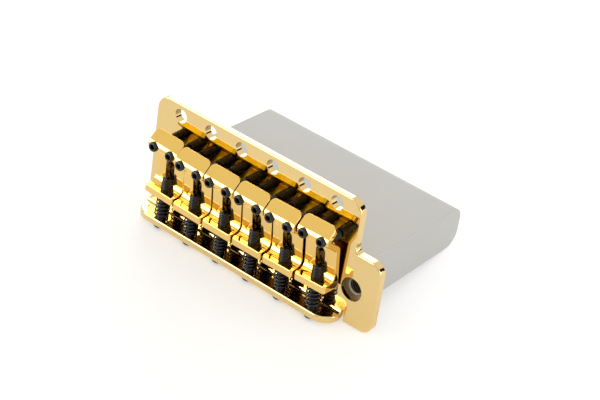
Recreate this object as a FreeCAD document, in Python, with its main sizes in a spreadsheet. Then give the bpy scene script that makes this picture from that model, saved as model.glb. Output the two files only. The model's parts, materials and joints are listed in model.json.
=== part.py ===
import FreeCAD, Part
import math
import os
import re

import Sketcher
from FreeCAD import Placement, Rotation, Vector

# Driving dimensions in millimetres and degrees.
# Plate axes: x towards the arm side, y towards the neck, z out of the plate's top face.
# Their origin lies on that face, midway between the outer pivot holes.
SIZES = {
    "string_pitch": 10.84,
    "screw_pitch": 11.2,
    "pivot_pitch": 11.2,
    "pivot_hole": 4.1,
    "pivot_bevel": 0.1,
    "bass_margin": 8.8,
    "arm_margin": 8.1,
    "plate_thickness": 2.2,
    "plate_front": 3.6,
    "front_bevel": 0.6,
    "plate_rear": 33.7,
    "plate_corner": 4.5,
    "plate_edge": 0.35,
    "tab_step": 11.5,
    "tab_margin": 8.4,
    "tab_corner_share": 0.391,
    "step_corner_share": 0.174,
    "arm_reach": 36.9,
    "arm_setback": 22.7,
    "arm_hole": 6.8,
    "arm_thread": 4.2,
    "arm_bevel": 0.45,
    "arm_depth": 18.0,
    "lip_height": 6.05,
    "lip_corner": 5.2,
    "lip_edge": 0.4,
    "lip_inset": 0.1,
    "relief_width": 0.8,
    "relief_depth": 0.9,
    "relief_margin": 0.3,
    "bend_radius": 1.0,
    "lip_hole": 3.3,
    "screw_height": 3.8,
    "spring_length": 7.0,
    "saddle_sheet": 1.7,
    "saddle_width": 10.55,
    "saddle_bend": 0.5,
    "saddle_edge": 0.25,
    "flange_thickness": 2.25,
    "flange_height": 6.9,
    "flange_corner": 0.8,
    "flange_bend": 2.0,
    "flange_heel": 1.2,
    "floor_height": 2.6,
    "floor_slope": 7.5,
    "leg_slope": 57.0,
    "apron_slope": 45.0,
    "apron_length": 6.2,
    "apron_corner": 1.6,
    "crest_reach": 15.8,
    "crest_height": 9.6,
    "crest_bend": 0.25,
    "outer_tilt": 2.0,
    "outer_advance": 0.4,
    "slot_start": 1.6,
    "slot_clearance": 0.63,
    "slot_width": 3.2,
    "string_offset": 2.65,
    "string_hole": 3.2,
    "plate_string_hole": 4.6,
    "ball_bore": 4.8,
    "ball_bore_start": 12.0,
    "screw_thread": 2.9,
    "screw_tip": 3.85,
    "tip_bevel": 0.4,
    "head_width": 3.7,
    "head_height": 0.8,
    "head_round": 0.6,
    "head_gap": 0.15,
    "cross_width": 0.7,
    "cross_length": 2.3,
    "cross_depth": 0.6,
    "thread_clearance": 0.06,
    "wire": 0.55,
    "spring_clearance": 0.2,
    "spring_end_gap": 0.14,
    "spring_turns": 5.5,
    "grub_thread": 2.9,
    "grub_spacing": 6.12,
    "grub_sink": 0.4,
    "grub_socket": 1.5,
    "grub_socket_depth": 1.6,
    "grub_bevel": 0.35,
    "foot_gap": 0.25,
    "block_front": 12.85,
    "block_thickness": 14.6,
    "block_taper": 2.3,
    "block_depth": 42.7,
    "block_string_wall": 2.9,
    "block_arm_wall": 0.15,
    "block_front_round": 3.5,
    "block_rear_round": 5.0,
    "block_edge": 0.4,
    "hook_hole": 2.2,
    "hook_depth": 9.0,
    "hook_setback": 4.8,
    "fixing_setback": 4.6,
    "fixing_thread": 4.0,
    "fixing_head": 7.2,
    "fixing_length": 12.0,
    "fixing_spare": 0.5,
    "fixing_socket": 2.5,
    "fixing_socket_depth": 1.4,
    "fixing_clearance": 0.03,
}

STRINGS = range(1, 7)
OUTER_STRINGS = (1, 6)
MIDDLE_STRING = (min(STRINGS) + max(STRINGS)) / 2
FIXINGS = (-2, 0, 2)
HOOKS = (-2, -1, 0, 1, 2)
NEAR = 1e-4

# Places worked out from the driving dimensions, in the sheet's own words.
PLATE_LEFT = "(-2.5 * pivot_pitch - bass_margin)"
PLATE_RIGHT = "(2.5 * pivot_pitch + arm_margin)"
TAB_SIDE = "(arm_reach + tab_margin)"
TAB_REACH = f"({TAB_SIDE} - {PLATE_RIGHT})"
LIP_FRONT = "(plate_thickness - plate_rear)"
LIP_LEFT = f"({PLATE_LEFT} + lip_inset)"
LIP_RIGHT = f"({PLATE_RIGHT} - lip_inset - relief_width)"
RELIEF_END = f"({LIP_FRONT} + bend_radius + relief_margin)"
LIP_MIDDLE = "(plate_thickness / 2 - plate_rear)"
FLANGE_REAR = f"({LIP_FRONT} + spring_length)"
FLANGE_FRONT = f"({FLANGE_REAR} + flange_thickness)"
CREST_PLACE = f"({FLANGE_REAR} + crest_reach)"
SLOT_REAR = f"({FLANGE_FRONT} + slot_start)"
LEG_RISE = "(crest_height - floor_height - (crest_reach - flange_thickness) * tan(floor_slope))"
LEG_PLACE = f"({CREST_PLACE} - {LEG_RISE} / (tan(leg_slope) - tan(floor_slope)))"
SLOT_FRONT = f"({LEG_PLACE} - slot_clearance)"
STRING_PLACE = f"({SLOT_REAR} + string_offset)"
FIXING_PLACE = f"({STRING_PLACE} - fixing_setback)"
SCREW_TIP = f"({FLANGE_FRONT} + screw_tip)"
HEAD_FRONT = "(-plate_rear - head_gap)"
BLOCK_LEFT = "(-2.5 * string_pitch - block_string_wall)"
BLOCK_RIGHT = "(arm_reach + arm_thread / 2 + arm_bevel + block_arm_wall)"
BLOCK_END = "(-plate_thickness - block_depth)"
BLOCK_REAR = "(-block_front - block_thickness)"
BLOCK_REAR_END = f"({BLOCK_REAR} + block_taper)"


def fill_sheet(doc):
    """A spreadsheet with one named cell for each driving dimension."""
    sheet = doc.addObject("Spreadsheet::Sheet", "Sizes")
    for row, (alias, number) in enumerate(SIZES.items(), start=1):
        sheet.set(f"A{row}", alias)
        sheet.set(f"B{row}", str(number))
        sheet.setAlias(f"B{row}", alias)
    doc.recompute()
    return sheet


def in_sheet(words):
    """The expression with each dimension's name pointed at its cell."""
    return re.sub(r"[a-z_]+", lambda found: f"Sizes.{found[0]}" if found[0] in SIZES else found[0], words)


def value(words):
    """The number that an expression in the sheet's words gives."""
    return float(SHEET.evalExpression(in_sheet(words)))


def bind(feature, path, words):
    feature.setExpression(path, in_sheet(words))


def string_x(number):
    """Where a string crosses the crest of its saddle."""
    return f"({number - MIDDLE_STRING} * string_pitch)"


def screw_x(number):
    """Where a string's intonation screw goes through the lip."""
    return f"({number - MIDDLE_STRING} * screw_pitch)"


def pivot_x(number):
    return f"({number - MIDDLE_STRING} * pivot_pitch)"


def advance(number):
    """How much further forward than the others a saddle stands on its screw."""
    return "outer_advance" if number in OUTER_STRINGS else "0"


def new_body(label):
    body = DOC.addObject("PartDesign::Body", label)
    body.Label = label
    return body


def new_sketch(body, role, height="0"):
    """A sketch on one of the body's own origin planes, moved along that plane's normal."""
    sketch = body.newObject("Sketcher::SketchObject", "Outline")
    plane = next(feature for feature in body.Origin.OriginFeatures if feature.Role == role)
    sketch.AttachmentSupport = [(plane, "")]
    sketch.MapMode = "FlatFace"
    bind(sketch, "AttachmentOffset.Base.z", height)
    return sketch


def fix_point(sketch, geometry, point, x, y):
    """Hold a point of the sketch at a place given in the sheet's words."""
    for kind, words in (("DistanceX", x), ("DistanceY", y)):
        constraint = Sketcher.Constraint(kind, -1, 1, geometry, point, value(words))
        index = sketch.addConstraint(constraint)
        bind(sketch, f"Constraints[{index}]", words)


def draw_outline(sketch, corners):
    """A closed outline of straight sides through the corners."""
    points = [Vector(value(x), value(y), 0) for x, y in corners]
    first = sketch.GeometryCount
    for start, end in zip(points, points[1:] + points[:1]):
        sketch.addGeometry(Part.LineSegment(start, end))
    for side in range(len(corners)):
        following = first + (side + 1) % len(corners)
        sketch.addConstraint(Sketcher.Constraint("Coincident", first + side, 2, following, 1))
    for side, (x, y) in enumerate(corners):
        fix_point(sketch, first + side, 1, x, y)


def draw_circle(sketch, x, y, diameter):
    centre = Vector(value(x), value(y), 0)
    ring = sketch.addGeometry(Part.Circle(centre, Vector(0, 0, 1), value(diameter) / 2))
    fix_point(sketch, ring, 3, x, y)
    index = sketch.addConstraint(Sketcher.Constraint("Diameter", ring, value(diameter)))
    bind(sketch, f"Constraints[{index}]", diameter)


def draw_slot(sketch, x, low, high, width):
    """A slot along y with round ends, reaching from low to high."""
    radius = value(f"{width} / 2")
    ends = [(x, f"{high} - {width} / 2"), (x, f"{low} + {width} / 2")]
    upper, lower = [Vector(value(across), value(along), 0) for across, along in ends]
    aside = Vector(radius, 0, 0)
    axis = Vector(0, 0, 1)
    first = sketch.GeometryCount
    sketch.addGeometry(Part.ArcOfCircle(Part.Circle(upper, axis, radius), 0, math.pi))
    sketch.addGeometry(Part.LineSegment(upper - aside, lower - aside))
    sketch.addGeometry(Part.ArcOfCircle(Part.Circle(lower, axis, radius), math.pi, 2 * math.pi))
    sketch.addGeometry(Part.LineSegment(lower + aside, upper + aside))
    for side in range(4):
        following = first + (side + 1) % 4
        sketch.addConstraint(Sketcher.Constraint("Tangent", first + side, 2, following, 1))
    for end, (across, along) in zip((first, first + 2), ends):
        fix_point(sketch, end, 3, across, along)
        index = sketch.addConstraint(Sketcher.Constraint("Radius", end, radius))
        bind(sketch, f"Constraints[{index}]", f"{width} / 2")


def draw_hexagon(sketch, x, y, flats):
    """A hexagon of the given width across its flats."""
    side = f"({flats} / sqrt(3))"
    half = f"({side} / 2)"
    corners = [
        (f"{x} + {side}", y),
        (f"{x} + {half}", f"{y} + {flats} / 2"),
        (f"{x} - {half}", f"{y} + {flats} / 2"),
        (f"{x} - {side}", y),
        (f"{x} - {half}", f"{y} - {flats} / 2"),
        (f"{x} + {half}", f"{y} - {flats} / 2"),
    ]
    draw_outline(sketch, corners)


def pad(body, sketch, length, backwards=False, both_ways=False):
    feature = body.newObject("PartDesign::Pad", "Pad")
    feature.Profile = sketch
    feature.Reversed = backwards
    feature.Midplane = both_ways
    bind(feature, "Length", length)
    DOC.recompute()
    return feature


def cut(body, sketch, length=None, backwards=False):
    """A pocket of the given depth, or right through both ways; it has to take material away."""
    before = body.Shape.Volume
    feature = body.newObject("PartDesign::Pocket", "Pocket")
    feature.Profile = sketch
    feature.Reversed = backwards
    if length is None:
        feature.Type = "ThroughAll"
        feature.Midplane = True
    else:
        bind(feature, "Length", length)
    DOC.recompute()
    if body.Shape.Volume > before - NEAR:
        raise RuntimeError(f"a cut in {body.Label} took nothing away")


def edge_names(shape, wanted):
    """Names of the edges whose two ends and middle all pass the test."""
    names = []
    for number, edge in enumerate(shape.Edges, start=1):
        low, high = edge.ParameterRange
        points = [edge.valueAt(low), edge.valueAt((low + high) / 2), edge.valueAt(high)]
        if all(wanted(point) for point in points):
            names.append(f"Edge{number}")
    return names


def dress(body, kind, size_name, size, wanted):
    """A Fillet or Chamfer on the edges that pass the test."""
    base = body.Tip
    names = edge_names(base.Shape, wanted)
    if not names:
        raise RuntimeError(f"no edge to dress in {body.Label}")
    feature = body.newObject(f"PartDesign::{kind}", kind)
    feature.Base = (base, names)
    bind(feature, size_name, size)
    DOC.recompute()
    if not feature.isValid():
        raise RuntimeError(f"{feature.Label} in {body.Label} failed on {names}")


def fillet(body, radius, wanted):
    dress(body, "Fillet", "Radius", radius, wanted)


def chamfer(body, size, wanted):
    dress(body, "Chamfer", "Size", size, wanted)


def at_xy(*places):
    """True for points on an upright line through one of the places."""
    spots = [(value(x), value(y)) for x, y in places]
    return lambda point: any(abs(point.x - x) < NEAR and abs(point.y - y) < NEAR for x, y in spots)


def at_yz(*places):
    """True for points on a line along x through one of the places."""
    return lambda point: any(abs(point.y - y) < NEAR and abs(point.z - z) < NEAR for y, z in places)


def on_ring(x, y, diameter, z):
    """True for points on a level circle."""
    centre = Vector(value(x), value(y), value(z))
    radius = value(diameter) / 2

    def test(point):
        away = point.distanceToPoint(centre) - radius
        return abs(point.z - centre.z) < NEAR and abs(away) < NEAR

    return test


def any_of(*tests):
    return lambda point: any(test(point) for test in tests)


def make_base_plate():
    """Sheet plate with an arm tab and a lip bent up along its rear edge."""
    body = new_body("base_plate")
    notch_front = f"({RELIEF_END} + relief_depth)"
    notch_side = f"({LIP_LEFT} + relief_depth)"
    slot_side = f"({LIP_RIGHT} + relief_width)"
    corners = [
        (PLATE_LEFT, "plate_front"),
        (PLATE_LEFT, notch_front),
        (notch_side, notch_front),
        (notch_side, RELIEF_END),
        (LIP_LEFT, RELIEF_END),
        (LIP_LEFT, "-plate_rear"),
        (LIP_RIGHT, "-plate_rear"),
        (LIP_RIGHT, RELIEF_END),
        (slot_side, RELIEF_END),
        (slot_side, "-plate_rear"),
        (TAB_SIDE, "-plate_rear"),
        (TAB_SIDE, "-tab_step"),
        (PLATE_RIGHT, "-tab_step"),
        (PLATE_RIGHT, "plate_front"),
    ]
    flat = new_sketch(body, "XY_Plane")
    draw_outline(flat, corners)
    pad(body, flat, "plate_thickness", backwards=True)
    lip = new_sketch(body, "XZ_Plane", f"-{LIP_FRONT}")
    lip_corners = [
        (LIP_LEFT, "-plate_thickness"),
        (LIP_RIGHT, "-plate_thickness"),
        (LIP_RIGHT, "lip_height"),
        (LIP_LEFT, "lip_height"),
    ]
    draw_outline(lip, lip_corners)
    pad(body, lip, "plate_thickness")
    make_plate_holes(body)
    fillet(body, "plate_corner", at_xy(corners[0], corners[-1]))
    fillet(body, f"tab_corner_share * {TAB_REACH}", at_xy(corners[10], corners[11]))
    fillet(body, f"step_corner_share * {TAB_REACH}", at_xy(corners[12]))
    bevel = new_sketch(body, "YZ_Plane")
    bevel_corners = [
        ("plate_front", "-plate_thickness"),
        ("plate_front", "front_bevel - plate_thickness"),
        ("plate_front - front_bevel", "-plate_thickness"),
    ]
    draw_outline(bevel, bevel_corners)
    cut(body, bevel)
    make_lip_bend(body)
    return body


def make_lip_bend(body):
    """Round the lip's upper corners, its bend and the rims."""
    lip_top = value("lip_height")
    left, right = value(LIP_LEFT), value(LIP_RIGHT)
    bend_in = at_yz((value(LIP_FRONT), 0))
    bend_out = at_yz((value("-plate_rear"), value("-plate_thickness")))
    rims = at_yz((value(LIP_FRONT), lip_top), (value("-plate_rear"), lip_top))

    def on_lip(point):
        return left - NEAR < point.x < right + NEAR

    def lip_corner(point):
        at_end = min(abs(point.x - left), abs(point.x - right)) < NEAR
        return at_end and abs(point.z - lip_top) < NEAR

    fillet(body, "lip_corner", lip_corner)
    fillet(body, "bend_radius", lambda point: bend_in(point) and on_lip(point))
    fillet(body, "bend_radius + plate_thickness", lambda point: bend_out(point) and on_lip(point))
    fillet(body, "lip_edge", rims)
    fillet(body, "plate_edge", at_yz((value("plate_front"), 0)))


def make_plate_holes(body):
    """Pivot holes, string holes, arm hole, fixing holes and the lip's screw holes."""
    holes = new_sketch(body, "XY_Plane")
    for number in STRINGS:
        draw_circle(holes, pivot_x(number), "0", "pivot_hole")
        draw_circle(holes, string_x(number), STRING_PLACE, "plate_string_hole")
    for step in FIXINGS:
        draw_circle(holes, f"{step} * string_pitch", FIXING_PLACE, "fixing_thread + 2 * fixing_clearance")
    draw_circle(holes, "arm_reach", "-arm_setback", "arm_hole")
    cut(body, holes)
    lip_holes = new_sketch(body, "XZ_Plane", "plate_rear")
    for number in STRINGS:
        draw_circle(lip_holes, screw_x(number), "screw_height", "lip_hole")
    cut(body, lip_holes, "plate_thickness")
    rims = [on_ring(pivot_x(number), "0", "pivot_hole", "0") for number in STRINGS]
    rims.append(on_ring("arm_reach", "-arm_setback", "arm_hole", "0"))
    chamfer(body, "pivot_bevel", any_of(*rims))
    sinks = [
        on_ring(f"{step} * string_pitch", FIXING_PLACE, "fixing_thread + 2 * fixing_clearance", "0")
        for step in FIXINGS
    ]
    chamfer(body, "(fixing_head - fixing_thread) / 2", any_of(*sinks))


def make_block():
    """Sustain block with string channels, spring hook holes and the arm's tapped hole."""
    body = new_body("tremolo_block")
    corners = [
        ("-block_front", "-plate_thickness"),
        ("-block_front", BLOCK_END),
        (BLOCK_REAR_END, BLOCK_END),
        (BLOCK_REAR, "-plate_thickness"),
    ]
    side = new_sketch(body, "YZ_Plane", BLOCK_LEFT)
    draw_outline(side, corners)
    pad(body, side, f"{BLOCK_RIGHT} - {BLOCK_LEFT}")
    front_end = (value("-block_front"), value(BLOCK_END))
    rear_end = (value(BLOCK_REAR_END), value(BLOCK_END))
    fillet(body, "block_front_round", at_yz(front_end))
    fillet(body, "block_rear_round", at_yz(rear_end))
    ends = (value(BLOCK_LEFT), value(BLOCK_RIGHT))
    bottom = value(BLOCK_END)

    def at_bottom_end(point):
        return min(abs(point.x - end) for end in ends) < NEAR and abs(point.z - bottom) < NEAR

    fillet(body, "block_edge", at_bottom_end)
    channels = new_sketch(body, "XY_Plane")
    for number in STRINGS:
        draw_circle(channels, string_x(number), STRING_PLACE, "string_hole")
    cut(body, channels)
    bores = new_sketch(body, "XY_Plane", BLOCK_END)
    for number in STRINGS:
        draw_circle(bores, string_x(number), STRING_PLACE, "ball_bore")
    cut(body, bores, "block_depth - ball_bore_start", backwards=True)
    hooks = new_sketch(body, "XY_Plane", BLOCK_END)
    for step in HOOKS:
        draw_circle(hooks, f"{step} * string_pitch", "-block_front - hook_setback", "hook_hole")
    cut(body, hooks, "hook_depth", backwards=True)
    taps = new_sketch(body, "XY_Plane", "-plate_thickness")
    for step in FIXINGS:
        draw_circle(taps, f"{step} * string_pitch", FIXING_PLACE, "fixing_thread + 2 * fixing_clearance")
    cut(body, taps, "fixing_length - plate_thickness + fixing_spare")
    arm = new_sketch(body, "XY_Plane", "-plate_thickness")
    draw_circle(arm, "arm_reach", "-arm_setback", "arm_thread")
    cut(body, arm, "arm_depth")
    chamfer(body, "arm_bevel", on_ring("arm_reach", "-arm_setback", "arm_thread", "-plate_thickness"))
    return body


def make_fixings():
    """Countersunk screws that hold the block to the plate, as one group."""
    body = new_body("block_screws")
    heads = new_sketch(body, "XY_Plane")
    shanks = new_sketch(body, "XY_Plane")
    sockets = new_sketch(body, "XY_Plane")
    for step in FIXINGS:
        middle = f"({step} * string_pitch)"
        draw_circle(shanks, middle, FIXING_PLACE, "fixing_thread")
        draw_circle(heads, middle, FIXING_PLACE, "fixing_head")
        draw_hexagon(sockets, middle, FIXING_PLACE, "fixing_socket")
    pad(body, shanks, "fixing_length", backwards=True)
    cone = pad(body, heads, "(fixing_head - fixing_thread) / 2", backwards=True)
    cone.TaperAngle = -45
    DOC.recompute()
    cut(body, sockets, "fixing_socket_depth")
    return body


def saddle_corners():
    """Side view of the bent strip as (y, z) words, from the flange to the apron: upper face, then lower."""
    leg_z = f"(floor_height + ({LEG_PLACE} - {FLANGE_FRONT}) * tan(floor_slope))"
    apron_y = f"({CREST_PLACE} + apron_length * cos(apron_slope))"
    apron_z = "(crest_height - apron_length * sin(apron_slope))"
    floor_drop = "(flange_thickness * tan(floor_slope) + saddle_sheet / cos(floor_slope))"
    leg_shift = "saddle_sheet / cos((leg_slope - floor_slope) / 2)"
    leg_turn = "((leg_slope + floor_slope) / 2)"
    under_leg_y = f"{LEG_PLACE} + {leg_shift} * sin({leg_turn})"
    under_leg_z = f"{leg_z} - {leg_shift} * cos({leg_turn})"
    crest_shift = "saddle_sheet / cos((leg_slope + apron_slope) / 2)"
    crest_turn = "((leg_slope - apron_slope) / 2)"
    under_crest_y = f"{CREST_PLACE} + {crest_shift} * sin({crest_turn})"
    under_crest_z = f"crest_height - {crest_shift} * cos({crest_turn})"
    upper = [
        (FLANGE_FRONT, "flange_height"),
        (FLANGE_FRONT, "floor_height"),
        (LEG_PLACE, leg_z),
        (CREST_PLACE, "crest_height"),
        (apron_y, apron_z),
    ]
    lower = [
        (FLANGE_REAR, "flange_height"),
        (FLANGE_REAR, f"floor_height - {floor_drop}"),
        (under_leg_y, under_leg_z),
        (under_crest_y, under_crest_z),
        (f"{apron_y} - saddle_sheet * sin(apron_slope)", f"{apron_z} - saddle_sheet * cos(apron_slope)"),
    ]
    return upper, lower


def make_saddle(number):
    """Saddle bent from one strip: rear flange, sloping floor, leg, rounded crest and front apron."""
    body = new_body(f"saddle_{number}")
    upper, lower = saddle_corners()
    side = new_sketch(body, "YZ_Plane", screw_x(number))
    draw_outline(side, upper + lower[::-1])
    pad(body, side, "saddle_width", both_ways=True)
    upper = [(value(y), value(z)) for y, z in upper]
    lower = [(value(y), value(z)) for y, z in lower]
    fillet(body, "crest_bend + saddle_sheet", at_yz(upper[3]))
    fillet(body, "crest_bend", at_yz(lower[3]))
    fillet(body, "saddle_bend", at_yz(upper[2]))
    fillet(body, "saddle_bend + saddle_sheet", at_yz(lower[2]))
    fillet(body, "flange_bend", at_yz(upper[1]))
    fillet(body, "flange_heel", at_yz(lower[1]))
    middle = value(screw_x(number))
    half = value("saddle_width / 2")
    reach = value("saddle_sheet") + NEAR

    def at_side(point):
        return abs(abs(point.x - middle) - half) < NEAR

    def at_apron_corner(point):
        gaps = [math.hypot(point.y - y, point.z - z) for y, z in (upper[4], lower[4])]
        return at_side(point) and max(gaps) < reach

    def at_flange_corner(point):
        return at_side(point) and abs(point.z - upper[0][1]) < NEAR

    fillet(body, "apron_corner", at_apron_corner)
    fillet(body, "flange_corner", at_flange_corner)
    fillet(body, "saddle_edge", at_side)
    make_saddle_holes(body, number)
    return body


def make_saddle_holes(body, number):
    """String slot in the floor, two tapped holes in the crest and one in the flange."""
    middle = screw_x(number)
    slot = new_sketch(body, "XY_Plane")
    draw_slot(slot, middle, SLOT_REAR, SLOT_FRONT, "slot_width")
    cut(body, slot)
    taps = new_sketch(body, "XY_Plane")
    for side in (-1, 1):
        draw_circle(taps, grub_x(number, side), CREST_PLACE, "grub_thread + 2 * thread_clearance")
    cut(body, taps)
    tap = new_sketch(body, "XZ_Plane", f"-{FLANGE_REAR}")
    draw_circle(tap, middle, "screw_height", "screw_thread + 2 * thread_clearance")
    cut(body, tap, "flange_thickness + slot_start + slot_width / 2")


def grub_x(number, side):
    return f"({screw_x(number)} + {side} * grub_spacing / 2)"


def make_grub(number, side, label):
    """Socket-head grub screw that stands on the plate and sets the saddle's height."""
    body = new_body(label)
    top = "(crest_height - grub_sink)"
    foot = "foot_gap"
    if number in OUTER_STRINGS:
        fall = f"(({CREST_PLACE} + {advance(number)} - {LIP_MIDDLE}) * sin(outer_tilt))"
        foot = f"(screw_height - (screw_height - foot_gap - {fall}) / cos(outer_tilt))"
    ring = new_sketch(body, "XY_Plane", top)
    draw_circle(ring, grub_x(number, side), CREST_PLACE, "grub_thread")
    pad(body, ring, f"{top} - {foot}", backwards=True)
    socket = new_sketch(body, "XY_Plane", top)
    draw_hexagon(socket, grub_x(number, side), CREST_PLACE, "grub_socket")
    cut(body, socket, "grub_socket_depth")
    ends = [on_ring(grub_x(number, side), CREST_PLACE, "grub_thread", z) for z in (top, foot)]
    chamfer(body, "grub_bevel", any_of(*ends))
    return body


def make_intonation_screw(number):
    """Pan-head screw through the lip, tapped into the saddle's flange."""
    body = new_body(f"intonation_screw_{number}")
    middle = screw_x(number)
    shank = new_sketch(body, "XZ_Plane", f"-{SCREW_TIP}")
    draw_circle(shank, middle, "screw_height", "screw_thread")
    pad(body, shank, f"{SCREW_TIP} - {HEAD_FRONT}")
    head = new_sketch(body, "XZ_Plane", f"-{HEAD_FRONT}")
    draw_circle(head, middle, "screw_height", "head_width")
    pad(body, head, "head_height")
    rear = value(f"{HEAD_FRONT} - head_height")
    tip = value(SCREW_TIP)
    fillet(body, "head_round", lambda point: abs(point.y - rear) < NEAR)
    chamfer(body, "tip_bevel", lambda point: abs(point.y - tip) < NEAR)
    cross = new_sketch(body, "XZ_Plane", f"-({HEAD_FRONT} - head_height)")
    near = "cross_width / 2"
    far = "cross_length / 2"
    turns = [(far, near), (near, near), (near, far)]
    corners = turns
    corners = corners + [(f"-({x})", y) for x, y in turns[::-1]]
    corners = corners + [(f"-({x})", f"-({y})") for x, y in turns]
    corners = corners + [(x, f"-({y})") for x, y in turns[::-1]]
    draw_outline(cross, [(f"{middle} + {x}", f"screw_height + {y}") for x, y in corners])
    cut(body, cross, "cross_depth")
    return body


def biarc(start, start_way, end, end_way):
    """Two tangent arcs from one point and direction to another."""
    chord = end - start
    ways = start_way + end_way
    square = 2 * (1 - start_way.dot(end_way))
    along = chord.dot(ways)
    reach = (math.sqrt(along * along + square * chord.dot(chord)) - along) / square
    near_corner = start + start_way * reach
    far_corner = end - end_way * reach
    join = (near_corner + far_corner) * 0.5
    return [arc(start, near_corner, join), arc(join, far_corner, end)]


def arc(start, corner, end):
    """The arc that leaves start towards the corner and reaches end from it."""
    middle = (start + end) * 0.5
    half = start.distanceToPoint(end) / 2
    lean = math.acos(half / start.distanceToPoint(corner))
    way = (corner - middle).normalize()
    return Part.Arc(start, middle + way * (half * math.tan(lean / 2)), end).toShape()


def make_spring(number):
    """Open coil spring on the intonation screw, between the lip and the saddle's flange."""
    wire = value("wire")
    radius = value("screw_thread / 2 + spring_clearance") + wire / 2
    start = value(f"{LIP_FRONT} + spring_end_gap") + wire / 2
    travel = value(f"spring_length + {advance(number)} - 2 * spring_end_gap") - wire
    turns = value("spring_turns")
    axis = Vector(value(screw_x(number)), start, value("screw_height"))
    rate = travel / (2 * math.pi * turns)

    def place(angle):
        return axis + Vector(radius * math.cos(angle), rate * angle, radius * math.sin(angle))

    def way(angle):
        return Vector(-radius * math.sin(angle), rate, radius * math.cos(angle)).normalize()

    quarters = round(turns * 4)
    angles = [2 * math.pi * turns * step / quarters for step in range(quarters + 1)]
    edges = []
    for low, high in zip(angles, angles[1:]):
        edges.extend(biarc(place(low), way(low), place(high), way(high)))
    section = Part.Wire(Part.Circle(place(0), way(0), wire / 2).toShape())
    coil = Part.Wire(edges).makePipeShell([section], True, False)
    report_gap(number, [place(angle) for angle in fine_angles(turns)], wire)
    feature = DOC.addObject("Part::Feature", f"intonation_spring_{number}")
    feature.Label = f"intonation_spring_{number}"
    feature.Shape = coil
    return feature


def fine_angles(turns, per_turn=48):
    count = round(turns * per_turn)
    return [2 * math.pi * turns * step / count for step in range(count + 1)]


def report_gap(number, points, wire, per_turn=48):
    """Print the least gap between the coil's turns, measured on points half a turn or more apart."""
    skip = per_turn // 2
    least = min(
        first.distanceToPoint(second)
        for index, first in enumerate(points)
        for second in points[index + skip:]
    )
    print(f"intonation_spring_{number}: least gap between turns {least - wire:.2f} mm")


def make_string_set(number):
    """The nodes of one string's set, each with its placement on the plate."""
    on_screw = [make_intonation_screw(number), make_spring(number)]
    on_saddle = [
        make_saddle(number),
        make_grub(number, -1, f"height_screw_{number}_bass"),
        make_grub(number, 1, f"height_screw_{number}_treble"),
    ]
    setting = string_setting(number)
    forward = Placement(Vector(0, value(advance(number)), 0), Rotation())
    places = {node: setting for node in on_screw}
    places.update({node: setting.multiply(forward) for node in on_saddle})
    return places


def string_setting(number):
    """Each set turns about its hole in the lip towards its string, and the outer sets tip down there."""
    tilt = value("outer_tilt") if number in OUTER_STRINGS else 0
    aside = value(f"({screw_x(number)} - {string_x(number)}) / ({CREST_PLACE} - {LIP_MIDDLE})")
    turn = Rotation(Vector(0, 0, 1), math.degrees(math.asin(aside)))
    pivot = Vector(value(screw_x(number)), value(LIP_MIDDLE), value("screw_height"))
    return Placement(Vector(0, 0, 0), turn.multiply(Rotation(Vector(1, 0, 0), -tilt)), pivot)


def lying_placement(shapes):
    """The finished bridge lies on its back, on the screw heads behind the lip and the block's rear corner."""
    head_y = value(f"{HEAD_FRONT} - head_height + head_round")
    head_z = value("screw_height - head_width / 2 + head_round")
    head_round = value("head_round")
    corner_round = value("block_rear_round")
    lean = math.atan2(value("block_taper"), value("block_depth"))
    corner_y = value(BLOCK_REAR_END) + corner_round * (1 / math.cos(lean) - math.tan(lean))
    corner_z = value(BLOCK_END) + corner_round
    across = math.hypot(corner_y - head_y, head_z - corner_z)
    slope = math.asin((corner_round - head_round) / across)
    tilt = math.atan2(corner_y - head_y, head_z - corner_z) - slope
    turn = Placement(Vector(0, 0, 0), Rotation(Vector(1, 0, 0), 90 - math.degrees(tilt)))
    box = FreeCAD.BoundBox()
    for shape in shapes:
        box.add(shape.transformed(turn.toMatrix()).optimalBoundingBox(False, False))
    lean_back = f"the plate leans back {math.degrees(tilt):.3f} degrees"
    print(f"{lean_back}; box centre {box.Center}, base {box.ZMin:.7f}")
    turn.Base = Vector(-box.Center.x, -box.Center.y, -box.ZMin)
    return turn


DOC = FreeCAD.newDocument("tremolo_bridge")
SHEET = fill_sheet(DOC)
FIXED = [make_base_plate(), make_block(), make_fixings()]
SETTINGS = {node: Placement() for node in FIXED}
for string in STRINGS:
    SETTINGS.update(make_string_set(string))

for node, setting in SETTINGS.items():
    node.Placement = setting
DOC.recompute()
LYING = lying_placement([node.Shape for node in SETTINGS])
for node, setting in SETTINGS.items():
    node.Placement = LYING.multiply(setting)
DOC.recompute()

for feature in DOC.Objects:
    if "Invalid" in feature.State or "Error" in feature.State:
        raise RuntimeError(f"{feature.Label}: {feature.State}")
os.makedirs("parts", exist_ok=True)
for node in SETTINGS:
    if node.Shape.isNull() or not node.Shape.isValid():
        raise RuntimeError(f"{node.Label} has no valid shape")
    print(f"{node.Label}: solids {len(node.Shape.Solids)}, {node.Shape.Volume:.2f} mm3")
    node.Shape.exportStep(f"parts/{node.Label}.step")
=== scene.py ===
"""Guitar tremolo bridge: gold plate and saddles, blackened screws and springs, and a painted block."""

import json
import math

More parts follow.
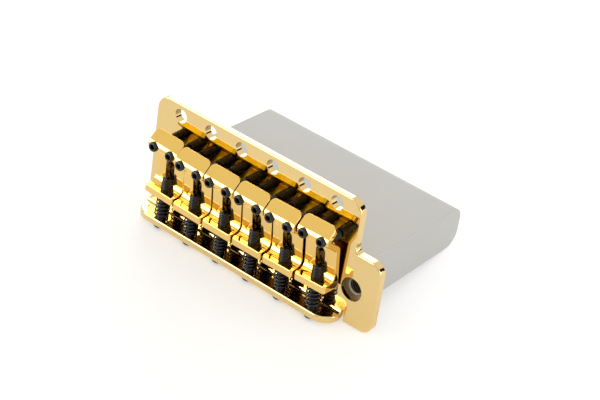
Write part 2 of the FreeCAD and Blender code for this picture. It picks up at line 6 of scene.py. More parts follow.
import bmesh
import bpy
import numpy as np
from bpy.props import FloatProperty, FloatVectorProperty, IntProperty, PointerProperty
from bpy.types import Operator, Panel, PropertyGroup
from mathutils import Euler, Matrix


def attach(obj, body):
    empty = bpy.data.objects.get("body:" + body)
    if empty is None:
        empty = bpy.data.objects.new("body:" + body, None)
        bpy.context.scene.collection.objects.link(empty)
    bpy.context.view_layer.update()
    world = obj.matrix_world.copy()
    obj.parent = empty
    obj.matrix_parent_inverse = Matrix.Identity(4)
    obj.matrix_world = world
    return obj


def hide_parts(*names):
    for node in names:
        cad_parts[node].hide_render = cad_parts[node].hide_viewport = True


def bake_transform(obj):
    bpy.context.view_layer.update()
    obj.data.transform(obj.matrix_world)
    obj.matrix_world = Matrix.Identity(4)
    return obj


bl_info = {
    "name": "Guitar tremolo bridge",
    "version": (1, 0, 0),
    "blender": (4, 5, 0),
    "location": "3D View > Sidebar > Bridge",
    "description": "Dresses the bridge's solids with threads, coils, plating and paint on a stage",
    "category": "Object",
}

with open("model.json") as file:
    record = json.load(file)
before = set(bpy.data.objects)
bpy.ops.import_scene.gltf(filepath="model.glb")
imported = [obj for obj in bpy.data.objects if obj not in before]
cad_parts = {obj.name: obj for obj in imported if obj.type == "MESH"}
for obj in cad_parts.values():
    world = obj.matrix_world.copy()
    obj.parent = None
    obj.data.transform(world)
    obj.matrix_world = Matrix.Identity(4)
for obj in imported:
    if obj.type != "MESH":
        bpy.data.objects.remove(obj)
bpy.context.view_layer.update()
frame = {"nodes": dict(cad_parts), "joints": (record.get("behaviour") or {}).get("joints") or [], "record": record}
JOINTS = {joint["name"]: joint for joint in frame["joints"]}
MOUNTS = {mount["name"]: mount for mount in frame["record"]["mounts"]}
STRINGS = range(1, 7)
SIDES = ("bass", "treble")
MM = 0.001
FULL_TURN = 2 * math.pi
# In a copied skin, corners nearer than WELD become one, and an edge that turns by less than CREASE is a bend
WELD = 0.0005 * MM
CREASE = math.radians(32)
ROWS_PER_THREAD = 8
SHEET_CORNERS = np.array([(-1, -1), (1, -1), (1, 1), (-1, 1)])
WHITE = (1.0, 1.0, 1.0)
# Places of the colour sockets on a mix node, which has sockets of the same names for other kinds of value
MIX_SHARE, MIX_FIRST, MIX_SECOND, MIX_RESULT = 0, 6, 7, 2


def linear(code):
    """Linear colour for an sRGB hex code, by the sRGB transfer curve."""
    channels = np.array([int(code[start:start + 2], 16) for start in (0, 2, 4)]) / 255
    curve = np.where(channels <= 0.04045, channels / 12.92, ((channels + 0.055) / 1.055) ** 2.4)
    return tuple(float(channel) for channel in curve)


def length(name, millimetres, description):
    """A length property, in metres, with its default given in millimetres."""
    return FloatProperty(
        name=name,
        description=description,
        default=millimetres * MM,
        unit="LENGTH",
        precision=5,
    )


def colour(name, code, description):
    """A colour property with its default given as an sRGB hex code."""
    return FloatVectorProperty(name=name, description=description, subtype="COLOR", default=linear(code))


class BridgeThreads(PropertyGroup):
    """Sizes of the intonation and height screws."""

    radius: length("Thread radius", 1.45, "Outer radius of the screws' threads")
    pitch: length("Pitch", 0.5, "Advance of the thread in one turn")
    depth: length("Thread depth", 0.27, "Depth of the thread's groove")
    head_radius: length("Head radius", 1.85, "Radius of the pan heads behind the lip")
    head_height: length("Head height", 0.8, "Height of the pan heads")
    head_round: length("Head rounding", 0.6, "Radius of the pan heads' outer edge")
    socket: length("Socket width", 1.5, "Width across the flats of the height screws' sockets")
    socket_depth: length("Socket depth", 1.6, "Depth of the height screws' sockets")


class BridgeSprings(PropertyGroup):
    """Sizes of the intonation springs."""

    wire: length("Wire", 0.55, "Diameter of the springs' wire")
    clearance: length("Clearance", 0.2, "Gap between the screw and the inside of its spring")
    grip: length("Grip", 0.3, "Length at each end that moves with what the spring pushes on")
    turns: FloatProperty(name="Turns", description="Turns of wire in each spring", default=5.5)


class BridgeFinish(PropertyGroup):
    """Colours of the plating, the blackened steel, the paint and the studio; two saddle golds are painted shade
    and a painted reflection.
    """

    gold: colour("Plate gold", "E4C88D", "Pale gold plating of the base plate")
    saddle_gold: colour("Saddle gold", "EAC67A", "Yellower gold plating of the saddles")
    # Painted reflection: this bright yellow stands in for gold reflected in the saddles' front edge
    edge_reflection_yellow: colour("Edge reflection", "FFEC46", "Bright cut edge at the front of the saddles")
    # Painted shade: a darker gold that stands in for the shade under and inside the saddles
    shaded_inside_gold: colour("Shaded inside gold", "6E4A18", "Unbuffed plating inside the saddles")
    black: colour("Black oxide", "191717", "Blackened steel of the screws and springs")
    steel: colour("Steel", "A9A8A6", "Plain steel of the block's fixing screws")
    bare_zinc: colour("Bare zinc", "B3A797", "Cut metal in the arm's hole")
    paint: colour("Block paint", "C0BFBA", "Grey paint of the sustain block")
    floor: colour("Floor", "DEDEDE", "Pale studio floor")
    ceiling: colour("Ceiling", "FFFADF", "Cream ceiling over the table")


class BridgeStage(PropertyGroup):
    """Camera, light and fineness."""

    lens: FloatProperty(name="Lens", description="Focal length", default=108.0, unit="CAMERA")
    softbox: FloatProperty(name="Softbox", description="Radiance of the softbox at the front", default=6.0)
    room: FloatProperty(name="Room", description="Radiance that the room lights with", default=0.66)
    lift: FloatProperty(name="Lift", description="Whiteness added to the floor where seen", default=0.47)
    columns: IntProperty(name="Columns", description="Faces around each screw", default=48)


def add_node(tree, kind, sockets=None, **settings):
    """Add a node, set its attributes, and give its sockets plain values or other nodes' outputs."""
    node = tree.nodes.new(kind)
    for name, setting in settings.items():
        setattr(node, name, setting)
    for name, source in (sockets or {}).items():
        if isinstance(source, bpy.types.NodeSocket):
            tree.links.new(source, node.inputs[name])
        else:
            node.inputs[name].default_value = source
    return node


def new_material(name):
    """An empty node material and its tree."""
    material = bpy.data.materials.new(name)
    material.use_nodes = True
    material.node_tree.nodes.clear()
    return material, material.node_tree


def show(tree, shader, kind="ShaderNodeOutputMaterial"):
    """Make a shader's output the tree's surface."""
    add_node(tree, kind, {"Surface": shader})


def coat(tree, sockets):
    """Make a principled shader with these sockets the tree's surface."""
    show(tree, add_node(tree, "ShaderNodeBsdfPrincipled", sockets).outputs["BSDF"])


def opaque(tint, shares=1.0):
    """A colour with full alpha, with each channel cut to its share."""
    return (*np.multiply(tint, shares), 1)


def object_place(tree):
    """Place of a point on its object, in metres."""
    return add_node(tree, "ShaderNodeTexCoord").outputs["Object"]


def noise(tree, place, millimetres, detail):
    """A noise texture whose patches are about the given size."""
    sockets = {"Vector": place, "Scale": 1 / (millimetres * MM), "Detail": detail}
    return add_node(tree, "ShaderNodeTexNoise", sockets).outputs["Fac"]


def spread(tree, source, low, high):
    """A value from nought to one stretched between two limits."""
    sockets = {"Value": source, "To Min": low, "To Max": high}
    return add_node(tree, "ShaderNodeMapRange", sockets).outputs["Result"]


def mixed(tree, share, first, second):
    """A colour between two, by a share from nought to one."""
    sockets = {MIX_SHARE: share, MIX_FIRST: first, MIX_SECOND: second}
    return add_node(tree, "ShaderNodeMix", sockets, data_type="RGBA").outputs[MIX_RESULT]


def bump(tree, height, strength, millimetres, over=None):
    """Normal of a surface with a relief of about the given height, on top of another normal."""
    sockets = {"Height": height, "Strength": strength, "Distance": millimetres * MM}
    if over is not None:
        sockets["Normal"] = over
    return add_node(tree, "ShaderNodeBump", sockets).outputs["Normal"]


def math_node(tree, operation, *terms):
    """One sum on numbers or other nodes' outputs."""
    return add_node(tree, "ShaderNodeMath", dict(enumerate(terms)), operation=operation).outputs["Value"]


def vector_node(tree, operation, sockets):
    """Outputs of one sum on vectors."""
    return add_node(tree, "ShaderNodeVectorMath", sockets, operation=operation).outputs


def gold_mirror(name, gold, lines):
    """Polished gold: a near mirror with faint haze, the wheel's slow ripple, and fine buffing lines."""
    material, tree = new_material(name)
    place = object_place(tree)
    line_length, line_width = 9 * MM, 0.45 * MM
    stretch = {"Vector": place, "Scale": (1 / line_length, 1 / line_width, 1 / line_width)}
    stretched = add_node(tree, "ShaderNodeMapping", stretch).outputs["Vector"]
    buffed = add_node(tree, "ShaderNodeTexNoise", {"Vector": stretched, "Scale": 1.0, "Detail": 2.0})
    ripple = bump(tree, noise(tree, place, millimetres=5, detail=1.0), strength=0.3, millimetres=0.02)
    lined = bump(tree, buffed.outputs["Fac"], strength=lines, millimetres=0.01, over=ripple)
    deeper = opaque(gold, (0.97, 0.94, 0.85))
    tone = mixed(tree, noise(tree, place, millimetres=7, detail=2.0), opaque(gold), deeper)
    rough = spread(tree, noise(tree, place, millimetres=2.5, detail=4.0), low=0.03, high=0.08)
    coat(tree, {"Metallic": 1.0, "Base Color": tone, "Roughness": rough, "Normal": lined})
    return material


def polished_gold_plate(name, finish):
    """Plating of the plate: smooth, so that it mirrors the room with hardly a line."""
    return gold_mirror(name, finish.gold, lines=0.05)


def buffed_gold_saddle(name, finish):
    """Plating of the saddles: the buffing lines show a little in the highlights."""
    return gold_mirror(name, finish.saddle_gold, lines=0.15)


def unbuffed_gold(name, gold):
    """Gold flashed on unbuffed sheet: dull and blotched, so that it only glows where light gets in. Its tint is
    painted light: shade inside the saddles, a reflection on their front edge.
    """
    material, tree = new_material(name)
    blotches = noise(tree, object_place(tree), millimetres=1.5, detail=4.0)
    tone = mixed(tree, blotches, opaque(gold), opaque(gold, (0.8, 0.72, 0.6)))
    rough = spread(tree, blotches, low=0.3, high=0.45)
    coat(tree, {"Metallic": 1.0, "Base Color": tone, "Roughness": rough})
    return material


def shade_darkened_gold_inside(name, finish):
    """Thin plating under the saddles, darkened as painted shade: a brown gloom in the slots and gaps."""
    return unbuffed_gold(name, finish.shaded_inside_gold)


def painted_reflection_gold_edge(name, finish):
    """Front edge of the saddles: a bright yellow line that is a painted reflection."""
    return unbuffed_gold(name, finish.edge_reflection_yellow)


def black_oxide_steel(name, finish):
    """Black oxide on steel: a dark satin skin, slightly patchy, that still catches light on edges."""
    material, tree = new_material(name)
    patches = noise(tree, object_place(tree), millimetres=0.8, detail=5.0)
    tone = mixed(tree, patches, opaque(finish.black), opaque(finish.black, (0.6, 0.55, 0.5)))
    rough = spread(tree, patches, low=0.16, high=0.3)
    coat(tree, {"Specular IOR Level": 0.42, "Base Color": tone, "Roughness": rough})
    return material


def plain_steel(name, finish):
    """Plain steel: a satin grey metal whose gloss comes and goes in fine specks."""
    material, tree = new_material(name)
    specks = noise(tree, object_place(tree), millimetres=0.3, detail=3.0)
    rough = spread(tree, specks, low=0.25, high=0.4)
    coat(tree, {"Metallic": 1.0, "Base Color": opaque(finish.steel), "Roughness": rough})
    return material


def tapped_hole(tree, place, mount):
    """Whether a point is on the bare metal of a threaded mount, and the thread's rise and fall along it.
    The bare metal covers the wall with its bevel, and a wider ring on the face past the mouth, where its darker
    tone is partly painted shade under the plate's hole."""
    radius, deep = mount["dims"]["r_mm"] * MM, mount["dims"]["length_mm"] * MM
    pitch, bevel, ring, mouth = 0.8 * MM, 0.5 * MM, 1.35 * MM, 0.4 * MM
    offset = vector_node(tree, "SUBTRACT", {0: place, 1: mount["pos_m"]})["Vector"]
    depth = vector_node(tree, "DOT_PRODUCT", {0: offset, 1: mount["axis"]})["Value"]
    along = vector_node(tree, "SCALE", {0: mount["axis"], "Scale": depth})["Vector"]
    aside = vector_node(tree, "DISTANCE", {0: offset, 1: along})["Value"]
    past_mouth = math_node(tree, "GREATER_THAN", depth, deep / 2 + mouth)
    reach = math_node(tree, "ADD", math_node(tree, "MULTIPLY", past_mouth, ring), radius + bevel)
    near_axis = math_node(tree, "LESS_THAN", aside, reach)
    in_depth = math_node(tree, "LESS_THAN", math_node(tree, "ABSOLUTE", depth), deep / 2 + ring)
    wave = math_node(tree, "SINE", math_node(tree, "MULTIPLY", depth, FULL_TURN / pitch))
    rise = add_node(tree, "ShaderNodeMapRange", {"Value": wave, "From Min": -1.0}).outputs["Result"]
    return math_node(tree, "MULTIPLY", near_axis, in_depth), rise


def sprayed_grey_paint(name, finish):
    """Grey paint on cast zinc: matt with a fine orange peel, and bare cut thread in the arm's hole, drawn as
    stripes whose near-black grooves are painted shade.
    """
    material, tree = new_material(name)
    place = object_place(tree)
    peel = noise(tree, place, millimetres=0.35, detail=3.0)
    bare, rise = tapped_hole(tree, place, MOUNTS["arm_socket"])
    # Painted shade: the thread's grooves are coloured near black, with no groove in the surface
    groove = opaque(WHITE, 0.01)
    thread = mixed(tree, rise, groove, opaque(finish.bare_zinc))
    clouds = noise(tree, place, millimetres=12, detail=3.0)
    paint = mixed(tree, clouds, opaque(finish.paint), opaque(finish.paint, 0.93))
    coat(tree, {
        "Specular IOR Level": 0.3,
        "Base Color": mixed(tree, bare, paint, thread),
        "Metallic": math_node(tree, "MULTIPLY", bare, 0.7),
        "Roughness": spread(tree, peel, low=0.45, high=0.6),
        "Normal": bump(tree, peel, strength=0.12, millimetres=0.03),
    })
    return material


FINISHES = {
    "polished_gold_plate": polished_gold_plate,
    "buffed_gold_saddle": buffed_gold_saddle,
    "shade_darkened_gold_inside": shade_darkened_gold_inside,
    "painted_reflection_gold_edge": painted_reflection_gold_edge,
    "black_oxide_steel": black_oxide_steel,
    "plain_steel": plain_steel,
    "sprayed_grey_paint": sprayed_grey_paint,
}


def finish_material(name):
    """The named material, made once and then shared."""
    return bpy.data.materials.get(name) or FINISHES[name](name, bpy.context.scene.bridge_finish)


def add_piece(name, mesh, material):
    """An object of a mesh with one material, linked to the scene."""
    mesh.materials.append(material)
    piece = bpy.data.objects.new(name, mesh)
    bpy.context.scene.collection.objects.link(piece)
    return piece


def closed_surface(name, rows, start, end, material):
    """A surface through rings of points, (rows, columns, 3), closed by a point at each end.
    Each ring is joined to the next by quads, and the first and last to their points by fans."""
    count, columns, _ = rows.shape
    points = np.concatenate([start[None], rows.reshape(-1, 3), end[None]])
    ring = np.arange(columns)
    after = (ring + 1) % columns
    base = 1 + columns * np.arange(count - 1)[:, None]
    quads = np.stack([base + ring, base + after, base + columns + after, base + columns + ring], axis=-1)
    last = 1 + columns * (count - 1)
    first_fan = np.stack([np.zeros(columns, int), 1 + after, 1 + ring], axis=-1)
    last_fan = np.stack([np.full(columns, len(points) - 1), last + ring, last + after], axis=-1)
    faces = quads.reshape(-1, 4).tolist() + first_fan.tolist() + last_fan.tolist()
    mesh = bpy.data.meshes.new(name)
    mesh.from_pydata(points.tolist(), [], faces)
    mesh.shade_smooth()
    return add_piece(name, mesh, material)


def swept_rings(origin, axis, side, other, along, radius, turn):
    """Rings of points about an axis: a place along it and a radius for each row and column, at each
    column's turn from one side direction towards the other."""
    out = np.cos(turn)[:, None] * side + np.sin(turn)[:, None] * other
    return origin + along[..., None] * axis + radius[..., None] * out


def string_axes(number):
    """Where a string's set is hung on the lip, and its unit directions across, forward and up."""
    pivot = np.array(JOINTS[f"saddle_height_{number}"]["pos_m"])
    forward = np.array(JOINTS[f"intonation_travel_{number}"]["axis"])
    up = np.array(JOINTS[f"height_travel_{number}_bass"]["axis"])
    return pivot, np.cross(forward, up), forward, up


def node_points(node):
    """Vertices of a CAD node as an array, one row each."""
    mesh = frame["nodes"][node].data
    points = np.empty(len(mesh.vertices) * 3, np.float32)
    mesh.vertices.foreach_get("co", points)
    return points.reshape(-1, 3).astype(float)


def polished_copy(node, name, material):
    """A copy of a CAD node's skin with shared corners, so that its bends shade round and its flats flat."""
    mesh = frame["nodes"][node].data.copy()
    mesh.name = name
    shell = bmesh.new()
    shell.from_mesh(mesh)
    bmesh.ops.remove_doubles(shell, verts=shell.verts, dist=WELD)
    for face in shell.faces:
        face.smooth = True
    for edge in shell.edges:
        edge.smooth = edge.calc_face_angle(math.pi) < CREASE
    shell.to_mesh(mesh)
    shell.free()
    mesh.materials.clear()
    piece = add_piece(name, mesh, material)
    normals = piece.modifiers.new("flat_faces_first", "WEIGHTED_NORMAL")
    normals.mode = "FACE_AREA"
    normals.keep_sharp = True
    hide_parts(node)
    return piece


class BRIDGE_OT_plate(Operator):
    """Polish the base plate and its lip."""

    bl_idname = "bridge.plate"
    bl_label = "Base plate"

    def execute(self, context):
        plate = polished_copy("base_plate", "gold_plate", finish_material("polished_gold_plate"))
        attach(plate, "base")
        return {"FINISHED"}


class BRIDGE_OT_block(Operator):
    """Paint the sustain block and give its fixing screws their bare steel."""

    bl_idname = "bridge.block"
    bl_label = "Block"

    def execute(self, context):
        block = polished_copy("tremolo_block", "painted_block", finish_material("sprayed_grey_paint"))
        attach(block, "base")
        fixings = frame["nodes"]["block_screws"].data
        fixings.materials.clear()
        fixings.materials.append(finish_material("plain_steel"))
        return {"FINISHED"}


class BRIDGE_OT_saddles(Operator):
    """Polish the saddles."""

    bl_idname = "bridge.saddles"
    bl_label = "Saddles"

    def execute(self, context):
        gold = finish_material("buffed_gold_saddle")
        for number in STRINGS:
            saddle = polished_copy(f"saddle_{number}", f"gold_saddle_{number}", gold)
            self.paint_shade_and_edge_reflection(saddle.data, number)
            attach(saddle, f"saddle_{number}")
        return {"FINISHED"}

    def paint_shade_and_edge_reflection(self, mesh, number):
        """Give painted shade, a darker rough gold, to faces that look down or back, and a painted reflection, a
        bright yellow, to the faces along the front edge.
        A face's look is the cosine between its normal and the string's up or forward direction."""
        _, _, forward, up = string_axes(number)
        normals = np.empty(len(mesh.polygons) * 3, np.float32)
        mesh.polygons.foreach_get("normal", normals)
        rise, advance = normals.reshape(-1, 3) @ up, normals.reshape(-1, 3) @ forward
        slight, half, mostly = 0.2, 0.5, 0.7
        # Faces that look down or back, which take the painted shade
        hidden = (rise < -slight) | ((advance < -mostly) & (rise < slight))
        # Faces along the front edge, which take the painted reflection
        cut = (advance > half) & (rise < -half)
        # Slots: polished gold, gold darkened as painted shade, and yellow painted as a reflection
        polished, dull, bright = range(3)
        finish = np.where(cut, bright, np.where(hidden, dull, polished))
        mesh.materials.append(finish_material("shade_darkened_gold_inside"))
        mesh.materials.append(finish_material("painted_reflection_gold_edge"))
        mesh.polygons.foreach_set("material_index", finish.astype(np.int32))


def thread_radius(along, turn, sizes, low, high):
    """Radius of a right-hand thread: a clipped cosine of the place along the screw, less the share of the
    turn, right-handed about it. The groove fades over half a turn at each end of the threaded length."""
    flank = 2.2
    wave = np.clip(flank * np.cos(FULL_TURN * (along / sizes.pitch - turn / FULL_TURN)), -1, 1)
    fade = np.clip(np.minimum(along - low, high - along) / (0.5 * sizes.pitch), 0, 1)
    return sizes.radius - sizes.depth * fade * (1 - wave) / 2


def ring_turns(columns):
    """Turns of the columns of a ring."""
    return np.linspace(0, FULL_TURN, columns, endpoint=False)


class BRIDGE_OT_intonation_screws(Operator):
    """Make the long threaded screws, with cross-slotted pan heads behind the lip."""

    bl_idname = "bridge.intonation_screws"
    bl_label = "Intonation screws"

    def execute(self, context):
        steel = finish_material("black_oxide_steel")
        turn = ring_turns(context.scene.bridge_stage.columns)
        for number in STRINGS:
            piece = self.make(number, context.scene.bridge_threads, turn, steel)
            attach(piece, f"screw_{number}")
            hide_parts(f"intonation_screw_{number}")
        return {"FINISHED"}

    def make(self, number, sizes, turn, steel):
        """The outline from tip to head is carried round the axis, and the thread follows the turn."""
        pivot, across, forward, up = string_axes(number)
        reach = (node_points(f"intonation_screw_{number}") - pivot) @ forward
        tip, rear = reach.max(), reach.min()
        seat = rear + sizes.head_height
        outline = [self.shank(sizes, turn, seat, tip), self.head(sizes, turn, seat, rear)]
        along, radius = np.concatenate(outline, axis=1)
        rings = swept_rings(pivot, forward, across, up, along, radius, turn)
        start = pivot + forward * tip
        end = pivot + forward * along[-1, 0]
        return closed_surface(f"threaded_intonation_screw_{number}", rings, start, end, steel)

    def shank(self, sizes, turn, seat, tip):
        """Places along the axis and radii of a blunt tip and the thread from there back to the head.
        The columns turn from across to up, which is left-handed about forward, so their turn is negative."""
        tip_along = np.array([tip, tip - 0.12 * MM])
        tip_shares = np.array([0.55, 0.72])
        tip_length, runout, lead = 0.35 * MM, 0.8 * MM, 0.3 * MM
        steps = np.arange(seat, tip - tip_length, sizes.pitch / ROWS_PER_THREAD)[::-1]
        along = np.repeat(np.concatenate([tip_along, steps])[:, None], len(turn), axis=1)
        radius = thread_radius(along, -turn, sizes, seat + runout, tip - lead)
        radius[:len(tip_along)] = tip_shares[:, None] * sizes.radius
        return np.stack([along, radius])

    def head(self, sizes, turn, seat, rear):
        """Places along the axis and radii of the pan head: a small bevel at its seat, a quarter circle
        round its edge, and a flat face with the cross slot sunk in it."""
        bevel, centre, face_rows = 0.05 * MM, 0.04 * MM, 12
        arc = np.linspace(0, np.pi / 2, 6)
        edge = sizes.head_radius - sizes.head_round
        along = np.concatenate([
            [seat, seat - bevel],
            rear + sizes.head_round * (1 - np.sin(arc)),
            np.full(face_rows, rear),
        ])
        radius = np.concatenate([
            [sizes.head_radius - bevel, sizes.head_radius],
            edge + sizes.head_round * np.cos(arc),
            np.linspace(edge, centre, face_rows + 1)[1:],
        ])
        rings = np.repeat(np.stack([along, radius])[..., None], len(turn), axis=-1)
        rings[0, -face_rows:] += self.cross(rings[1, -face_rows:], turn)
        return rings

    def cross(self, radius, turn):
        """Depth of the cross slot: full inside either of two crossed bars, easing up over a thin edge."""
        first, second = np.abs(radius * np.cos(turn)), np.abs(radius * np.sin(turn))
        wide, long, edge, deep = 0.33 * MM, 1.15 * MM, 0.12 * MM, 0.55 * MM
        one = np.clip((wide - first) / edge, 0, 1) * np.clip((long - second) / edge, 0, 1)
        two = np.clip((wide - second) / edge, 0, 1) * np.clip((long - first) / edge, 0, 1)
        return deep * np.maximum(one, two)


class BRIDGE_OT_springs(Operator):
    """Wind the coil springs on the intonation screws."""

    bl_idname = "bridge.springs"
    bl_label = "Springs"

    def execute(self, context):
        steel = finish_material("black_oxide_steel")
        sizes = context.scene.bridge_springs
        thread = context.scene.bridge_threads.radius
        for number in STRINGS:
            pivot, _, forward, _ = string_axes(number)
            reach = (node_points(f"intonation_spring_{number}") - pivot) @ forward
            piece = self.make(number, sizes, thread, reach.min(), reach.max(), steel)
            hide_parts(f"intonation_spring_{number}")
            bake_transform(piece)
        return {"FINISHED"}

    def make(self, number, sizes, thread, low, high, steel):
        """A round wire carried along a right-hand helix about the screw's axis, with narrowed ends."""
        pivot, across, forward, up = string_axes(number)
        rows_per_turn, wire_columns, end_share = 40, 14, 0.8
        radius = thread + sizes.clearance + sizes.wire / 2
        first = low + sizes.wire / 2
        turn = np.linspace(0, FULL_TURN * sizes.turns, round(sizes.turns * rows_per_turn) + 1)
        rate = (high - low - sizes.wire) / turn[-1]
        cosine, sine = np.cos(turn)[:, None], np.sin(turn)[:, None]
        out = cosine * across - sine * up
        line = pivot + out * radius + (first + rate * turn)[:, None] * forward
        way = (-cosine * up - sine * across) * radius + rate * forward
        way /= np.linalg.norm(way, axis=1, keepdims=True)
        other = np.cross(way, out)
        around = ring_turns(wire_columns)[:, None]
        section = np.cos(around) * out[:, None] + np.sin(around) * other[:, None]
        thick = np.full(len(line), sizes.wire / 2)
        thick[[0, -1]] *= end_share
        rings = line[:, None] + section * thick[:, None, None]
        return closed_surface(f"coil_spring_{number}", rings, line[0], line[-1], steel)


class BRIDGE_OT_height_screws(Operator):
    """Make the height screws, with hexagon sockets in their upper ends."""

    bl_idname = "bridge.height_screws"
    bl_label = "Height screws"

    def execute(self, context):
        steel = finish_material("black_oxide_steel")
        turn = ring_turns(context.scene.bridge_stage.columns)
        for number in STRINGS:
            for side in SIDES:
                node = f"height_screw_{number}_{side}"
                piece = self.make(node, number, context.scene.bridge_threads, turn, steel)
                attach(piece, node)
                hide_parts(node)
        return {"FINISHED"}

    def make(self, node, number, sizes, turn, steel):
        """The outline from foot to socket is carried round the axis, and a flat cone closes the socket."""
        _, across, forward, up = string_axes(number)
        points = node_points(node)
        middle = (points.min(axis=0) + points.max(axis=0)) / 2
        reach = (points - middle) @ up
        sideways = (points - middle) @ forward
        origin = middle + forward * (sideways.min() + sideways.max()) / 2
        foot, top = reach.min(), reach.max()
        along, radius = self.outline(sizes, turn, foot, top)
        rings = swept_rings(origin, up, across, forward, along, radius, turn)
        cone = 0.3 * MM
        start = origin + up * foot
        end = origin + up * (top - sizes.socket_depth - cone)
        return closed_surface(f"threaded_{node}", rings, start, end, steel)

    def outline(self, sizes, turn, foot, top):
        """Places along the axis and radii of a narrowed foot, the thread, the rim and the socket's wall.
        The socket's radius is half its width over the cosine of the turn from the middle of a side."""
        sixth = np.pi / 3
        hexagon = sizes.socket / 2 / np.cos(np.mod(turn, sixth) - sixth / 2)
        circle = np.full(len(turn), sizes.radius)
        foot_share, taper_share, rim_share, crown_share, wall_share = 0.7, 0.9, 0.92, 0.8, 0.8
        taper, rim, bevel, runout = 0.3 * MM, 0.15 * MM, 0.06 * MM, 0.2 * MM
        below = [
            (foot, foot_share * circle),
            (foot + taper, taper_share * circle),
        ]
        above = [
            (top - rim, rim_share * circle),
            (top, crown_share * circle),
            (top, hexagon + bevel),
            (top - bevel, hexagon),
            (top - wall_share * sizes.socket_depth, hexagon),
            (top - sizes.socket_depth, hexagon),
        ]
        first, last = foot + 0.4 * MM, top - 0.3 * MM
        steps = np.arange(first, last, sizes.pitch / ROWS_PER_THREAD)
        places = np.concatenate([[place for place, _ in below], steps, [place for place, _ in above]])
        along = np.repeat(places[:, None], len(turn), axis=1)
        threaded = thread_radius(along[len(below):-len(above)], turn, sizes, foot + taper, top - runout)
        radius = np.concatenate([[ring for _, ring in below], threaded, [ring for _, ring in above]])
        return along, radius


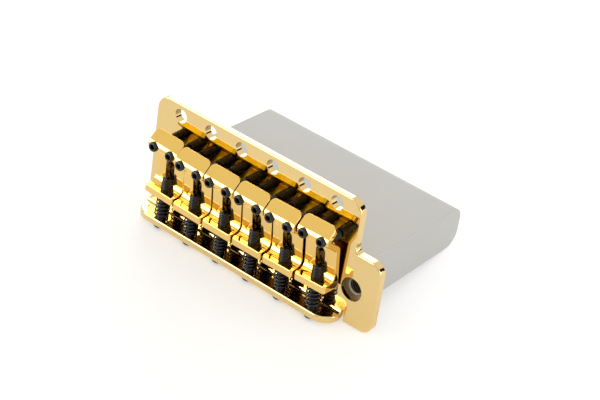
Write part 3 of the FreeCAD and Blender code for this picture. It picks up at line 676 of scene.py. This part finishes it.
class BRIDGE_OT_stage(Operator):
    """Set the floor, the light and the camera."""

    bl_idname = "bridge.stage"
    bl_label = "Stage"

    def execute(self, context):
        scene = context.scene
        scene.view_settings.view_transform = "Standard"
        self.make_floor(scene)
        self.make_light(scene)
        self.make_camera(scene)
        return {"FINISHED"}

    def seen_ray(self, tree):
        """One for a ray that shows a surface, straight or mirrored, and nought for one that lights."""
        path = add_node(tree, "ShaderNodeLightPath").outputs
        mirrored = math_node(tree, "MAXIMUM", path["Is Glossy Ray"], path["Is Transmission Ray"])
        return math_node(tree, "MAXIMUM", path["Is Camera Ray"], mirrored)

    def make_sheet(self, name, corners, material):
        """A rectangle of the stage, from its four corners."""
        mesh = bpy.data.meshes.new(name)
        mesh.from_pydata(corners.tolist(), [], [(0, 1, 2, 3)])
        return add_piece(name, mesh, material)

    def make_floor(self, scene):
        """A wide flat sheet under the object that keeps its shadow and reads white where it is seen."""
        half = 4.0
        material, tree = new_material("white_paper_sweep")
        lift = math_node(tree, "MULTIPLY", self.seen_ray(tree), scene.bridge_stage.lift)
        paper = add_node(tree, "ShaderNodeBsdfDiffuse", {"Color": opaque(scene.bridge_finish.floor)})
        glow = add_node(tree, "ShaderNodeEmission", {"Strength": lift})
        both = {0: paper.outputs["BSDF"], 1: glow.outputs["Emission"]}
        show(tree, add_node(tree, "ShaderNodeAddShader", both).outputs["Shader"])
        corners = np.column_stack([half * SHEET_CORNERS, np.zeros(4)])
        floor = self.make_sheet("studio_floor", corners, material)

    def make_light(self, scene):
        """An even room that is seen white, a softbox, a ceiling, two side panels and two dark flags."""
        stage, finish = scene.bridge_stage, scene.bridge_finish
        world = bpy.data.worlds.new("pale_room")
        world.use_nodes = True
        tree = world.node_tree
        tree.nodes.clear()
        strength = math_node(tree, "MAXIMUM", self.seen_ray(tree), stage.room)
        room = add_node(tree, "ShaderNodeBackground", {"Color": opaque(WHITE), "Strength": strength})
        show(tree, room.outputs["Background"], "ShaderNodeOutputWorld")
        scene.world = world
        dark, ceiling, back, right = 0.01, 1.0, 4.2, 5.0
        self.make_panel("softbox", (-0.38, -0.52, 0.28), (0.55, 0.53), WHITE, stage.softbox, lights=False)
        self.make_panel("cream_ceiling", (-0.42, -0.30, 0.70), (0.9, 0.5), finish.ceiling, ceiling)
        self.make_panel("back_panel", (-0.32, 0.48, 0.19), (0.4, 0.3), WHITE, back)
        self.make_panel("right_panel", (0.54, 0.22, 0.11), (0.45, 0.28), WHITE, right)
        self.make_panel("front_flag", (0.0, -0.62, 0.085), (0.36, 0.16), WHITE, dark, lights=False)
        self.make_panel("back_flag", (0.45, 0.55, 0.12), (0.26, 0.22), WHITE, dark, lights=False)

    def make_panel(self, name, centre, size, tint, radiance, lights=True):
        """A glowing rectangle that faces the bridge; one that doesn't light is only seen in polished metal.
        One side lies along the cross product of up with its facing, the other at right angles to both."""
        middle = np.array(centre)
        facing = -middle / np.linalg.norm(middle)
        side = np.cross((0, 0, 1), facing)
        side /= np.linalg.norm(side)
        rise = np.cross(facing, side)
        signs = SHEET_CORNERS * np.array(size) / 2
        material, tree = new_material(f"{name}_glow")
        glow = add_node(tree, "ShaderNodeEmission", {"Color": opaque(tint), "Strength": radiance})
        show(tree, glow.outputs["Emission"])
        panel = self.make_sheet(name, middle + signs[:, :1] * side + signs[:, 1:] * rise, material)
        panel.visible_camera = False
        panel.visible_diffuse = lights

    def make_camera(self, scene):
        """The photograph's viewpoint, found by fitting the plate's holes and the screws' ends."""
        view = bpy.data.cameras.new("camera")
        view.lens = scene.bridge_stage.lens
        view.sensor_width = 36
        view.clip_start = 0.01
        camera = bpy.data.objects.new("camera", view)
        camera.location = (0.2459273, -0.2879298, 0.3425388)
        camera.rotation_euler = Euler([math.radians(angle) for angle in (48.8686, 0.0886, 40.5345)])
        scene.collection.objects.link(camera)
        scene.camera = camera


class BRIDGE_PT_panel(Panel):
    """The bridge's sizes and colours, and the steps that make its pieces and stage."""

    bl_label = "Tremolo bridge"
    bl_idname = "BRIDGE_PT_panel"
    bl_space_type = "VIEW_3D"
    bl_region_type = "UI"
    bl_category = "Bridge"

    def draw(self, context):
        for name, group in SETTINGS.items():
            box = self.layout.box()
            for field in group.__annotations__:
                box.prop(getattr(context.scene, name), field)
        for operator in OPERATORS:
            self.layout.operator(operator.bl_idname)


SETTINGS = {
    "bridge_threads": BridgeThreads,
    "bridge_springs": BridgeSprings,
    "bridge_finish": BridgeFinish,
    "bridge_stage": BridgeStage,
}
OPERATORS = (
    BRIDGE_OT_plate,
    BRIDGE_OT_block,
    BRIDGE_OT_saddles,
    BRIDGE_OT_intonation_screws,
    BRIDGE_OT_springs,
    BRIDGE_OT_height_screws,
    BRIDGE_OT_stage,
)
CLASSES = (*SETTINGS.values(), *OPERATORS, BRIDGE_PT_panel)


def register():
    for group in CLASSES:
        bpy.utils.register_class(group)
    for name, group in SETTINGS.items():
        setattr(bpy.types.Scene, name, PointerProperty(type=group))


def unregister():
    for name in SETTINGS:
        delattr(bpy.types.Scene, name)
    for group in reversed(CLASSES):
        bpy.utils.unregister_class(group)


def main():
    register()
    bpy.ops.bridge.plate()
    bpy.ops.bridge.block()
    bpy.ops.bridge.saddles()
    bpy.ops.bridge.intonation_screws()
    bpy.ops.bridge.springs()
    bpy.ops.bridge.height_screws()
    bpy.ops.bridge.stage()


if __name__ == "__main__":
    main()
